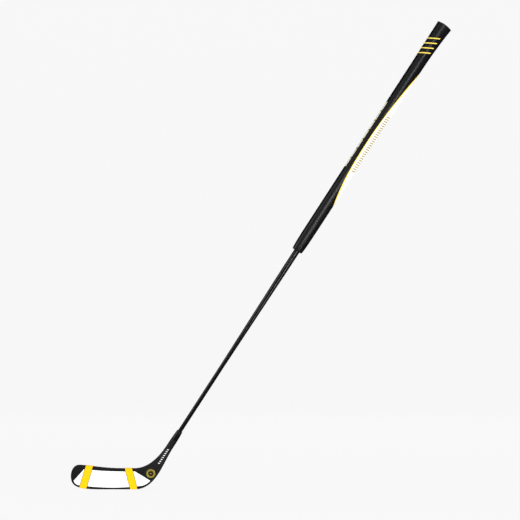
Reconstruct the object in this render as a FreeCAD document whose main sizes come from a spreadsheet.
import FreeCAD, Part
import math
import os

import Sketcher

# A golf putter whose blade and neck are shaped like an ice-hockey stick.
# Row frame: X runs from the toe to the heel, the striking face looks along -Y and Z is up.
# The origin is the middle of the flat sole, on the ground. The shaft leans towards +X.

DRIVING_SIZES = {
    # whole club
    "club_length": 889.0,         # from the ground to the butt, along the shaft axis
    "lie_angle": 57.0,            # shaft axis above the ground, in degrees
    "shaft_foot": 46.0,           # where the shaft axis meets the ground
    # blade
    "blade_depth": 11.0,          # front to back
    "edge_round": 1.5,
    "sole_heel_end": 34.0,
    "sole_flat": 61.5,
    "toe_sweep_radius": 124.0,
    "toe_sweep_turn": 13.2,
    "toe_low_radius": 15.8,
    "toe_low_turn": 62.3,
    "toe_front_radius": 25.0,
    "toe_front_turn": 46.2,
    "toe_top_radius": 10.2,
    "toe_top_turn": 53.6,
    "toe_crown_radius": 67.0,
    "toe_crown_turn": 13.4,
    "top_hollow_radius": 380.0,
    "top_hollow_turn": 8.8,
    "top_height": 33.7,           # top edge above the ground, where the throat begins
    "heel_radius": 39.0,
    "heel_turn": 49.0,
    # neck
    "neck_start": 50.0,           # distances along the shaft axis from the ground
    "neck_start_toe_side": 9.0,
    "neck_start_heel_side": 7.1,
    "neck_top": 94.7,
    "neck_round_length": 11.7,
    "neck_radius": 5.45,
    "bore_radius": 3.5,
    "bore_length": 34.0,
    # striking plate
    "pocket_length": 5.0,
    "glue_layer": 0.3,
    "plate_gap": 0.1,
    # wrapped bands
    "band_width": 11.8,
    "band_inset": 0.4,
    "band_stand": 0.2,
    "band_gap": 0.5,
    "toe_band_place": -43.8,
    "toe_band_lean": 16.8,
    "heel_band_place": 28.4,
    "heel_band_lean": -14.4,
    "band_height": 18.0,
    # heel medallion
    "medallion_place": 59.8,
    "medallion_height": 25.2,
    "medallion_radius": 7.2,
    "medallion_thickness": 0.8,
    "medallion_gap": 0.1,
    "medallion_proud": 0.1,
    # shaft
    "tip_radius": 3.35,
    "tip_wall": 0.9,
    "upper_radius": 4.85,
    "upper_wall": 0.5,
    "seat_radius": 5.3,           # the last step up, under the grip
    "step_below_mouth": 0.2,
    "taper_start": 238.0,
    "taper_end": 425.0,
    "tip_clearance": 1.0,
    "plug_length": 8.0,
    # ferrule
    "ferrule_length": 16.5,
    "ferrule_base_radius": 5.3,
    "ferrule_base_straight": 2.0,
    "ferrule_nose_radius": 4.5,
    "ferrule_nose_chamfer": 0.9,
    # grip
    "grip_mouth": 455.2,
    "skin_thickness": 1.4,
    "skin_bore_radius": 5.35,
    "tape_thickness": 0.2,
    "core_start": 461.0,
    "cap_thickness": 3.0,
    "cap_edge_round": 2.4,
    "cap_stem_radius": 4.75,
    "cap_stem_length": 12.0,
    "vent_radius": 1.5,
}

# The grip's sections: distance along the axis, reach on the thumb side, reach on the finger side
# and half the width across. The mouth is drawn in and the butt swells on the finger side.
GRIP_SECTIONS = [
    (DRIVING_SIZES["grip_mouth"], 7.5, 7.5, 8.4),
    (457.0, 8.4, 8.4, 9.4),
    (DRIVING_SIZES["core_start"], 9.1, 9.1, 10.2),
    (475.0, 9.7, 9.7, 11.0),
    (520.0, 10.1, 10.1, 11.6),
    (650.0, 10.3, 10.3, 12.0),
    (790.0, 10.6, 10.5, 12.4),
    (835.0, 10.8, 11.3, 12.8),
    (860.0, 11.0, 12.8, 13.1),
    (DRIVING_SIZES["club_length"] - DRIVING_SIZES["cap_thickness"], 11.3, 14.7, 13.4),
]

# The neck's sections: distance beyond the neck's start, reach on the toe side, reach on the heel
# side, half the depth and squareness. The flat bend turns into a round neck.
NECK_SECTIONS = [
    (-4.0, 9.6, 7.3, 5.4, 4.6),
    (4.0, 8.2, 6.8, 5.4, 4.2),
    (12.0, 7.0, 6.1, 5.4, 3.2),
    (22.0, 5.8, 5.6, 5.45, 2.3),
]

doc = FreeCAD.newDocument("putter")
sheet = doc.addObject("Spreadsheet::Sheet", "Sizes")
for row, (alias, number) in enumerate(DRIVING_SIZES.items(), start=1):
    sheet.set(f"A{row}", alias)
    sheet.set(f"B{row}", str(number))
    sheet.setAlias(f"B{row}", alias)
doc.recompute()


def size(alias):
    return float(sheet.get(alias))


# ---------- small helpers ----------

def make_body(label):
    body = doc.addObject("PartDesign::Body", label)
    body.Label = label
    return body


def make_sketch(body, name, role, offset=None):
    """A sketch on one of the body's own origin planes, moved by an optional placement."""
    sketch = body.newObject("Sketcher::SketchObject", name)
    plane = next(item for item in body.Origin.OriginFeatures if item.Role == role)
    sketch.AttachmentSupport = [(plane, "")]
    sketch.MapMode = "FlatFace"
    if offset is not None:
        sketch.AttachmentOffset = offset
    return sketch


def draw_loop(sketch, curves):
    """Add curves that follow one another, each end on the next start."""
    for curve in curves:
        sketch.addGeometry(curve, False)


def draw_polygon(sketch, corners):
    """A closed polygon whose corners are pairs of expressions, each tied to the sheet."""
    points = [FreeCAD.Vector(evaluate(x), evaluate(y), 0) for x, y in corners]
    for index, point in enumerate(points):
        sketch.addGeometry(Part.LineSegment(point, points[(index + 1) % len(points)]), False)
    for index in range(len(points)):
        following = (index + 1) % len(points)
        sketch.addConstraint(Sketcher.Constraint("Coincident", index, 2, following, 1))
    for index, (x, y) in enumerate(corners):
        for kind, text in (("DistanceX", x), ("DistanceY", y)):
            rule = Sketcher.Constraint(kind, -1, 1, index, 1, evaluate(text))
            number = sketch.addConstraint(rule)
            sketch.setExpression(f"Constraints[{number}]", text)


def evaluate(text):
    return float(sheet.evalExpression(text.replace("Sizes.", "")))


def on_shaft(distance):
    """Placement of a plane square to the shaft axis, at a distance from the ground."""
    lean = math.radians(90 - size("lie_angle"))
    base = FreeCAD.Vector(size("shaft_foot") + distance * math.sin(lean), 0, distance * math.cos(lean))
    return FreeCAD.Placement(base, FreeCAD.Rotation(FreeCAD.Vector(0, 1, 0), 90 - size("lie_angle")))


def set_on_shaft(item):
    """Turn a piece that was modelled upright so that its Z axis becomes the shaft axis."""
    item.Placement = on_shaft(0)
    item.setExpression("Placement.Base.x", "Sizes.shaft_foot")
    item.setExpression("Placement.Rotation.Angle", "90 - Sizes.lie_angle")


def turned_piece(label, corners):
    """A round piece: its half section, given as radius and height, revolved about Z."""
    body = make_body(label)
    sketch = make_sketch(body, label + "_section", "XZ_Plane")
    draw_polygon(sketch, corners)
    revolution = body.newObject("PartDesign::Revolution", label + "_turning")
    revolution.Profile = sketch
    revolution.ReferenceAxis = (sketch, ["V_Axis"])
    revolution.Angle = 360
    set_on_shaft(body)
    return body


def cut(label, base, tool):
    result = doc.addObject("Part::Cut", label)
    result.Label = label
    result.Base = base
    result.Tool = tool
    return result


# ---------- head ----------

def turning_arc(start, heading, radius, turn):
    """An arc that leaves start along heading and turns right by turn degrees (left if negative)."""
    side = -1 if turn > 0 else 1
    across = FreeCAD.Vector(-math.sin(heading), math.cos(heading), 0) * side
    centre = start + across * radius

    def at(share):
        angle = -math.radians(turn) * share
        arm = start - centre
        return centre + FreeCAD.Vector(
            arm.x * math.cos(angle) - arm.y * math.sin(angle),
            arm.x * math.sin(angle) + arm.y * math.cos(angle), 0)

    return Part.Arc(start, at(0.5), at(1.0)), at(1.0), heading - math.radians(turn)


def tangent_arc(start, heading, end):
    """The arc that leaves start along heading and reaches end."""
    chord = end - start
    turn = 2 * (math.atan2(chord.y, chord.x) - heading)
    radius = chord.Length / (2 * math.sin(abs(turn) / 2))
    return turning_arc(start, heading, radius, -math.degrees(turn))[0]


def blade_outline(grow):
    """Blade and bend up to the start of the neck, moved outwards by grow.

    The line runs from the heel end of the sole along the sole, round the toe, back along the top
    edge, up the throat, across the neck and down round the heel.
    """
    toe_turns = [
        ("toe_sweep", 1), ("toe_low", 1), ("toe_front", 1),
        ("toe_top", 1), ("toe_crown", 1), ("top_hollow", -1),
    ]
    start = FreeCAD.Vector(size("sole_heel_end"), -grow, 0)
    place = start + FreeCAD.Vector(-size("sole_flat"), 0, 0)
    curves = [Part.LineSegment(start, place)]
    heading = math.pi
    for name, side in toe_turns:
        radius = size(name + "_radius") + side * grow
        arc, place, heading = turning_arc(place, heading, radius, side * size(name + "_turn"))
        curves.append(arc)
    throat = FreeCAD.Vector(size("sole_heel_end"), size("top_height") + grow, 0)
    curves.append(Part.LineSegment(place, throat))
    section = on_shaft(size("neck_start"))
    toe_side = section.multVec(FreeCAD.Vector(-size("neck_start_toe_side") - grow, 0, 0))
    heel_side = section.multVec(FreeCAD.Vector(size("neck_start_heel_side") + grow, 0, 0))
    toe_corner = FreeCAD.Vector(toe_side.x, toe_side.z, 0)
    heel_corner = FreeCAD.Vector(heel_side.x, heel_side.z, 0)
    curves.append(tangent_arc(throat, 0.0, toe_corner))
    curves.append(Part.LineSegment(toe_corner, heel_corner))
    low_arc, bend, heading = turning_arc(start, 0.0, size("heel_radius") + grow, -size("heel_turn"))
    curves.append(tangent_arc(bend, heading, heel_corner))
    curves.append(low_arc)
    return curves


def blade_blank(label, grow):
    """The blade's plate with rounded edges, grown or shrunk by grow."""
    body = make_body(label)
    sketch = make_sketch(body, label + "_outline", "XZ_Plane")
    draw_loop(sketch, blade_outline(grow))
    plate = body.newObject("PartDesign::Pad", label + "_plate")
    plate.Profile = sketch
    plate.Midplane = True
    plate.setExpression("Length", f"Sizes.blade_depth + 2 * {grow}")
    doc.recompute()
    rounding = body.newObject("PartDesign::Fillet", label + "_edges")
    rounding.Base = (plate, rim_edges(plate.Shape))
    rounding.Radius = size("edge_round") + grow
    rounding.setExpression("Radius", f"Sizes.edge_round + {grow}")
    doc.recompute()
    return body


def rim_edges(shape):
    """Names of the edges in the front and back faces, without those across the neck."""
    neck = on_shaft(size("neck_start")).inverse()
    names = []
    for number, edge in enumerate(shape.Edges, start=1):
        middle = edge.valueAt((edge.FirstParameter + edge.LastParameter) / 2)
        across_neck = abs(neck.multVec(middle).z) < 0.01
        in_rim = abs(abs(middle.y) - shape.BoundBox.YMax) < 0.01
        if in_rim and not across_neck:
            names.append(f"Edge{number}")
    return names


def neck_section(body, name, distance, toe_side, heel_side, half_depth, squareness):
    """A closed curve square to the shaft axis: 2 is an ellipse, and more squares it up."""
    count = 24
    points = []
    for step in range(count):
        angle = 2 * math.pi * step / count
        reach = heel_side if math.cos(angle) > 0 else toe_side
        x = reach * math.copysign(abs(math.cos(angle)) ** (2 / squareness), math.cos(angle))
        y = half_depth * math.copysign(abs(math.sin(angle)) ** (2 / squareness), math.sin(angle))
        points.append(FreeCAD.Vector(x, y, 0))
    sketch = make_sketch(body, name, "XY_Plane", on_shaft(distance))
    curve = Part.BSplineCurve()
    curve.interpolate(points, PeriodicFlag=True)
    sketch.addGeometry(curve, False)
    return sketch


def add_neck(body):
    """Blend the flat bend into the round neck. The blend starts just inside the plate's end."""
    start = size("neck_start")
    top = size("neck_top")
    radius = size("neck_radius")
    sections = [(start + beyond, *shape) for beyond, *shape in NECK_SECTIONS]
    sections.append((top - size("neck_round_length"), radius, radius, radius, 2))
    sections.append((top, radius, radius, radius, 2))
    sketches = []
    for number, values in enumerate(sections):
        sketches.append(neck_section(body, f"neck_section_{number}", *values))
    loft = body.newObject("PartDesign::AdditiveLoft", "neck")
    loft.Profile = sketches[0]
    loft.Sections = sketches[1:]
    doc.recompute()


def face_plane(lift=0.0):
    """Offset from the body's XZ plane out to the striking face."""
    return FreeCAD.Placement(FreeCAD.Vector(0, 0, size("blade_depth") / 2 + lift), FreeCAD.Rotation())


def plate_outline(gap):
    """The striking plate: slanted ends, rounded lower corners, a bowed lower edge."""
    top_toe = FreeCAD.Vector(-47.2 + gap, 32.4 - gap, 0)
    left = FreeCAD.Vector(-63.6 + gap, 13.9, 0)
    low_left = FreeCAD.Vector(-56.0, 6.6 + gap, 0)
    low_middle = FreeCAD.Vector(-4.0, 2.7 + gap, 0)
    low_right = FreeCAD.Vector(46.4, 5.7 + gap, 0)
    right = FreeCAD.Vector(59.2 - gap, 13.8, 0)
    top_heel = FreeCAD.Vector(34.2 - gap, 29.0 - gap, 0)
    return [
        Part.LineSegment(top_toe, left),
        Part.Arc(left, FreeCAD.Vector(-61.4 + gap, 9.6 + gap, 0), low_left),
        Part.Arc(low_left, low_middle, low_right),
        Part.Arc(low_right, FreeCAD.Vector(53.2, 8.9 + gap, 0), right),
        Part.LineSegment(right, top_heel),
        Part.Arc(top_heel, FreeCAD.Vector(-6.5, 29.3 - gap, 0), top_toe),
    ]


def pocket(body, name, sketch, depth_expression):
    feature = body.newObject("PartDesign::Pocket", name)
    feature.Profile = sketch
    feature.setExpression("Length", depth_expression)
    doc.recompute()
    return feature


def head_blank():
    body = blade_blank("head_blank", 0.0)
    add_neck(body)
    outline = make_sketch(body, "plate_pocket_outline", "XZ_Plane", face_plane())
    draw_loop(outline, plate_outline(0.0))
    pocket(body, "plate_pocket", outline, "Sizes.pocket_length")
    seat = make_sketch(body, "medallion_seat_outline", "XZ_Plane", face_plane())
    seat_radius = "Sizes.medallion_radius + Sizes.medallion_gap"
    draw_circle(seat, size("medallion_place"), size("medallion_height"), seat_radius)
    pocket(body, "medallion_seat", seat, "Sizes.medallion_thickness - Sizes.medallion_proud")
    mouth = make_sketch(body, "shaft_bore_mouth", "XY_Plane", on_shaft(size("neck_top")))
    draw_circle(mouth, 0, 0, "Sizes.bore_radius")
    pocket(body, "shaft_bore", mouth, "Sizes.bore_length")
    return body


def draw_circle(sketch, x, y, radius_expression):
    circle = Part.Circle(FreeCAD.Vector(x, y, 0), FreeCAD.Vector(0, 0, 1), evaluate(radius_expression))
    number = sketch.addGeometry(circle, False)
    rule = sketch.addConstraint(Sketcher.Constraint("Radius", number, evaluate(radius_expression)))
    sketch.setExpression(f"Constraints[{rule}]", radius_expression)


def plate_layer(label, gap, low_expression, thickness_expression):
    """A layer in the face pocket, with its back at a depth below the striking face."""
    body = make_body(label)
    offset = face_plane(-evaluate(low_expression))
    sketch = make_sketch(body, label + "_outline", "XZ_Plane", offset)
    draw_loop(sketch, plate_outline(gap))
    pad = body.newObject("PartDesign::Pad", label + "_layer")
    pad.Profile = sketch
    pad.setExpression("Length", thickness_expression)
    doc.recompute()
    return body


def medallion():
    body = make_body("heel_medallion")
    offset = face_plane(size("medallion_proud") - size("medallion_thickness"))
    sketch = make_sketch(body, "medallion_outline", "XZ_Plane", offset)
    draw_circle(sketch, size("medallion_place"), size("medallion_height"), "Sizes.medallion_radius")
    pad = body.newObject("PartDesign::Pad", "medallion_disc")
    pad.Profile = sketch
    pad.setExpression("Length", "Sizes.medallion_thickness")
    doc.recompute()
    return body


def band_box(label, name, gap):
    """A leaning slab that holds the band's stretch of the blade, standing on the ground."""
    reach = 60.0                  # well past the blade's top and its two faces
    box = doc.addObject("Part::Box", label)
    box.setExpression("Length", f"Sizes.band_width + 2 * {gap}")
    box.Width = 2 * reach
    box.Height = 2 * reach
    lean = FreeCAD.Rotation(FreeCAD.Vector(0, 1, 0), size(name + "_band_lean"))
    centre = FreeCAD.Vector(size(name + "_band_place"), 0, size("band_height"))
    corner = FreeCAD.Vector(-size("band_width") / 2 - gap, -reach, -reach)
    box.Placement = FreeCAD.Placement(centre + lean.multVec(corner), lean)
    return box


def band(name, grown, core, ground_box):
    strip = band_box(name + "_band_strip", name, 0.0)
    outer = doc.addObject("Part::MultiCommon", name + "_band_outer")
    outer.Shapes = [strip, grown, ground_box]
    return cut(name + "_tape_band", outer, core)


def build_head():
    """Head, plate, glue, bands and medallion."""
    grown = blade_blank("band_outer_blank", size("band_stand"))
    core = blade_blank("band_core_blank", -size("band_inset"))
    ground_box = doc.addObject("Part::Box", "above_ground")
    reach = 150.0                 # well past the head on every side
    ground_box.Length = 2 * reach
    ground_box.Width = 2 * reach
    ground_box.Height = reach
    ground_box.Placement.Base = FreeCAD.Vector(-reach, -reach, 0)
    grooves = []
    for name in ("toe", "heel"):
        box = band_box(name + "_groove_box", name, size("band_gap"))
        grooves.append(cut(name + "_groove", box, core))
    head = cut("head_with_toe_groove", head_blank(), grooves[0])
    head = cut("head_body", head, grooves[1])
    plate_thickness = "Sizes.pocket_length - Sizes.glue_layer"
    plate = plate_layer("plate_blank", size("plate_gap"), plate_thickness, plate_thickness)
    plate = cut("plate_with_toe_groove", plate, grooves[0])
    plate = cut("face_insert", plate, grooves[1])
    glue = plate_layer("insert_adhesive", 2 * size("plate_gap"), "Sizes.pocket_length", "Sizes.glue_layer")
    bands = [band(name, grown, core, ground_box) for name in ("toe", "heel")]
    return [head, plate, glue, medallion()] + bands


# ---------- shaft ----------

def build_shaft():
    """Shaft tube, its glue, the plug in its tip and the ferrule."""
    tip = "Sizes.neck_top - Sizes.bore_length + Sizes.tip_clearance"
    step = "Sizes.grip_mouth - Sizes.step_below_mouth"
    top = "Sizes.club_length - Sizes.cap_thickness"
    shaft = turned_piece("shaft", [
        ("Sizes.tip_radius", tip),
        ("Sizes.tip_radius", "Sizes.taper_start"),
        ("Sizes.upper_radius", "Sizes.taper_end"),
        ("Sizes.upper_radius", step),
        ("Sizes.seat_radius", step),
        ("Sizes.seat_radius", top),
        ("Sizes.seat_radius - Sizes.upper_wall", top),
        ("Sizes.seat_radius - Sizes.upper_wall", step + " + 1"),
        ("Sizes.upper_radius - Sizes.upper_wall", step + " + 1"),
        ("Sizes.upper_radius - Sizes.upper_wall", "Sizes.taper_end"),
        ("Sizes.tip_radius - Sizes.tip_wall", "Sizes.taper_start"),
        ("Sizes.tip_radius - Sizes.tip_wall", tip),
    ])
    epoxy = turned_piece("shaft_epoxy", [
        ("Sizes.tip_radius", tip),
        ("Sizes.bore_radius", tip),
        ("Sizes.bore_radius", "Sizes.neck_top"),
        ("Sizes.tip_radius", "Sizes.neck_top"),
    ])
    plug = make_body("shaft_tip_plug")
    sketch = make_sketch(plug, "plug_end", "XY_Plane")
    draw_circle(sketch, 0, 0, "Sizes.tip_radius - Sizes.tip_wall")
    sketch.setExpression("AttachmentOffset.Base.z", tip)
    pad = plug.newObject("PartDesign::Pad", "plug")
    pad.Profile = sketch
    pad.setExpression("Length", "Sizes.plug_length")
    set_on_shaft(plug)
    nose = "Sizes.neck_top + Sizes.ferrule_length"
    ferrule = turned_piece("ferrule", [
        ("Sizes.tip_radius", "Sizes.neck_top"),
        ("Sizes.ferrule_base_radius", "Sizes.neck_top"),
        ("Sizes.ferrule_base_radius", "Sizes.neck_top + Sizes.ferrule_base_straight"),
        ("Sizes.ferrule_nose_radius", nose + " - Sizes.ferrule_nose_chamfer"),
        ("Sizes.ferrule_nose_radius - Sizes.ferrule_nose_chamfer", nose),
        ("Sizes.tip_radius", nose),
    ])
    return [shaft, epoxy, plug, ferrule]


# ---------- grip ----------

def grip_section_curve(thumb_side, finger_side, half_width):
    """One smooth closed curve: nearly flat on the thumb side (-X), round on the finger side (+X)."""
    count = 16
    points = []
    for step in range(count):
        angle = 2 * math.pi * step / count
        across = math.sin(angle)
        along = math.cos(angle)
        if along >= 0:
            x = finger_side * along
            y = half_width * across
        else:
            x = -thumb_side * abs(along) ** 0.62
            y = half_width * math.copysign(abs(across) ** 0.85, across)
        points.append(FreeCAD.Vector(x, y, 0))
    curve = Part.BSplineCurve()
    curve.interpolate(points, PeriodicFlag=True)
    return curve


def grip_loft(label, sections, inset):
    body = make_body(label)
    sketches = []
    for number, (distance, thumb_side, finger_side, half_width) in enumerate(sections):
        offset = FreeCAD.Placement(FreeCAD.Vector(0, 0, distance), FreeCAD.Rotation())
        sketch = make_sketch(body, f"{label}_section_{number}", "XY_Plane", offset)
        curve = grip_section_curve(thumb_side - inset, finger_side - inset, half_width - inset)
        sketch.addGeometry(curve, False)
        sketches.append(sketch)
    loft = body.newObject("PartDesign::AdditiveLoft", label + "_form")
    loft.Profile = sketches[0]
    loft.Sections = sketches[1:]
    loft.Ruled = True
    doc.recompute()
    return body


def bore_tool(label, radius_expression, start_expression, end_expression):
    tool = doc.addObject("Part::Cylinder", label)
    tool.setExpression("Radius", radius_expression)
    tool.setExpression("Height", f"{end_expression} - ({start_expression})")
    tool.setExpression("Placement.Base.z", start_expression)
    return tool


def build_grip():
    """Tape, foam core, skin and end cap."""
    cap_seat = "Sizes.club_length - Sizes.cap_thickness"
    tape_radius = "Sizes.seat_radius + Sizes.tape_thickness"
    tape = turned_piece("grip_tape", [
        ("Sizes.seat_radius", "Sizes.core_start"),
        (tape_radius, "Sizes.core_start"),
        (tape_radius, cap_seat),
        ("Sizes.seat_radius", cap_seat),
    ])
    core_form = grip_loft("core_form", GRIP_SECTIONS[2:], size("skin_thickness"))
    skin_form = grip_loft("skin_form", GRIP_SECTIONS, 0.0)
    shaft_hole = bore_tool("core_hole", tape_radius, "Sizes.core_start - 1", "Sizes.club_length")
    core = cut("grip_core", core_form, shaft_hole)
    mouth_hole = bore_tool("mouth_hole", "Sizes.skin_bore_radius", "Sizes.grip_mouth - 1",
                           "Sizes.core_start + 1")
    skin = cut("skin_with_mouth", skin_form, mouth_hole)
    skin = cut("grip_skin", skin, core_form)
    cap = end_cap(cap_seat)
    for item in (core, skin):
        set_on_shaft(item)
    return [tape, core, skin, cap]


def end_cap(cap_seat):
    """Cap with a rounded rim, a stem inside the shaft and a vent hole."""
    body = make_body("grip_end_cap")
    rim = make_sketch(body, "cap_rim", "XY_Plane")
    rim.setExpression("AttachmentOffset.Base.z", cap_seat)
    rim.addGeometry(grip_section_curve(*GRIP_SECTIONS[-1][1:]), False)
    disc = body.newObject("PartDesign::Pad", "cap_disc")
    disc.Profile = rim
    disc.setExpression("Length", "Sizes.cap_thickness")
    doc.recompute()
    top = f"{cap_seat} + Sizes.cap_thickness"
    upper = []
    for number, edge in enumerate(disc.Shape.Edges, start=1):
        if edge.BoundBox.ZMin > evaluate(top) - 0.01:
            upper.append(f"Edge{number}")
    rounding = body.newObject("PartDesign::Fillet", "cap_edge")
    rounding.Base = (disc, upper)
    rounding.setExpression("Radius", "Sizes.cap_edge_round")
    doc.recompute()
    stem_end = make_sketch(body, "cap_stem_end", "XY_Plane")
    stem_end.setExpression("AttachmentOffset.Base.z", f"{cap_seat} - Sizes.cap_stem_length")
    draw_circle(stem_end, 0, 0, "Sizes.cap_stem_radius")
    stem = body.newObject("PartDesign::Pad", "cap_stem")
    stem.Profile = stem_end
    stem.setExpression("Length", "Sizes.cap_stem_length + 0.5")
    doc.recompute()
    vent_mouth = make_sketch(body, "vent_mouth", "XY_Plane")
    vent_mouth.setExpression("AttachmentOffset.Base.z", top)
    draw_circle(vent_mouth, 0, 0, "Sizes.vent_radius")
    vent = body.newObject("PartDesign::Pocket", "vent")
    vent.Profile = vent_mouth
    vent.Type = "ThroughAll"
    set_on_shaft(body)
    doc.recompute()
    return body


# ---------- checks and export ----------

def check_document(pieces):
    for item in doc.Objects:
        if "Invalid" in item.State or "Error" in item.State:
            raise RuntimeError(f"{item.Label} failed: {item.State}")
    for piece in pieces:
        shape = piece.Shape
        if shape.isNull() or not shape.isValid():
            raise RuntimeError(f"{piece.Label} has no valid shape")
        print(f"{piece.Label:18s} {len(shape.Solids)} solid  {shape.Volume / 1000:8.2f} cm3")


pieces = build_head() + build_shaft() + build_grip()
doc.recompute()
check_document(pieces)
os.makedirs("parts", exist_ok=True)
for piece in pieces:
    piece.Shape.exportStep(f"parts/{piece.Label}.step")
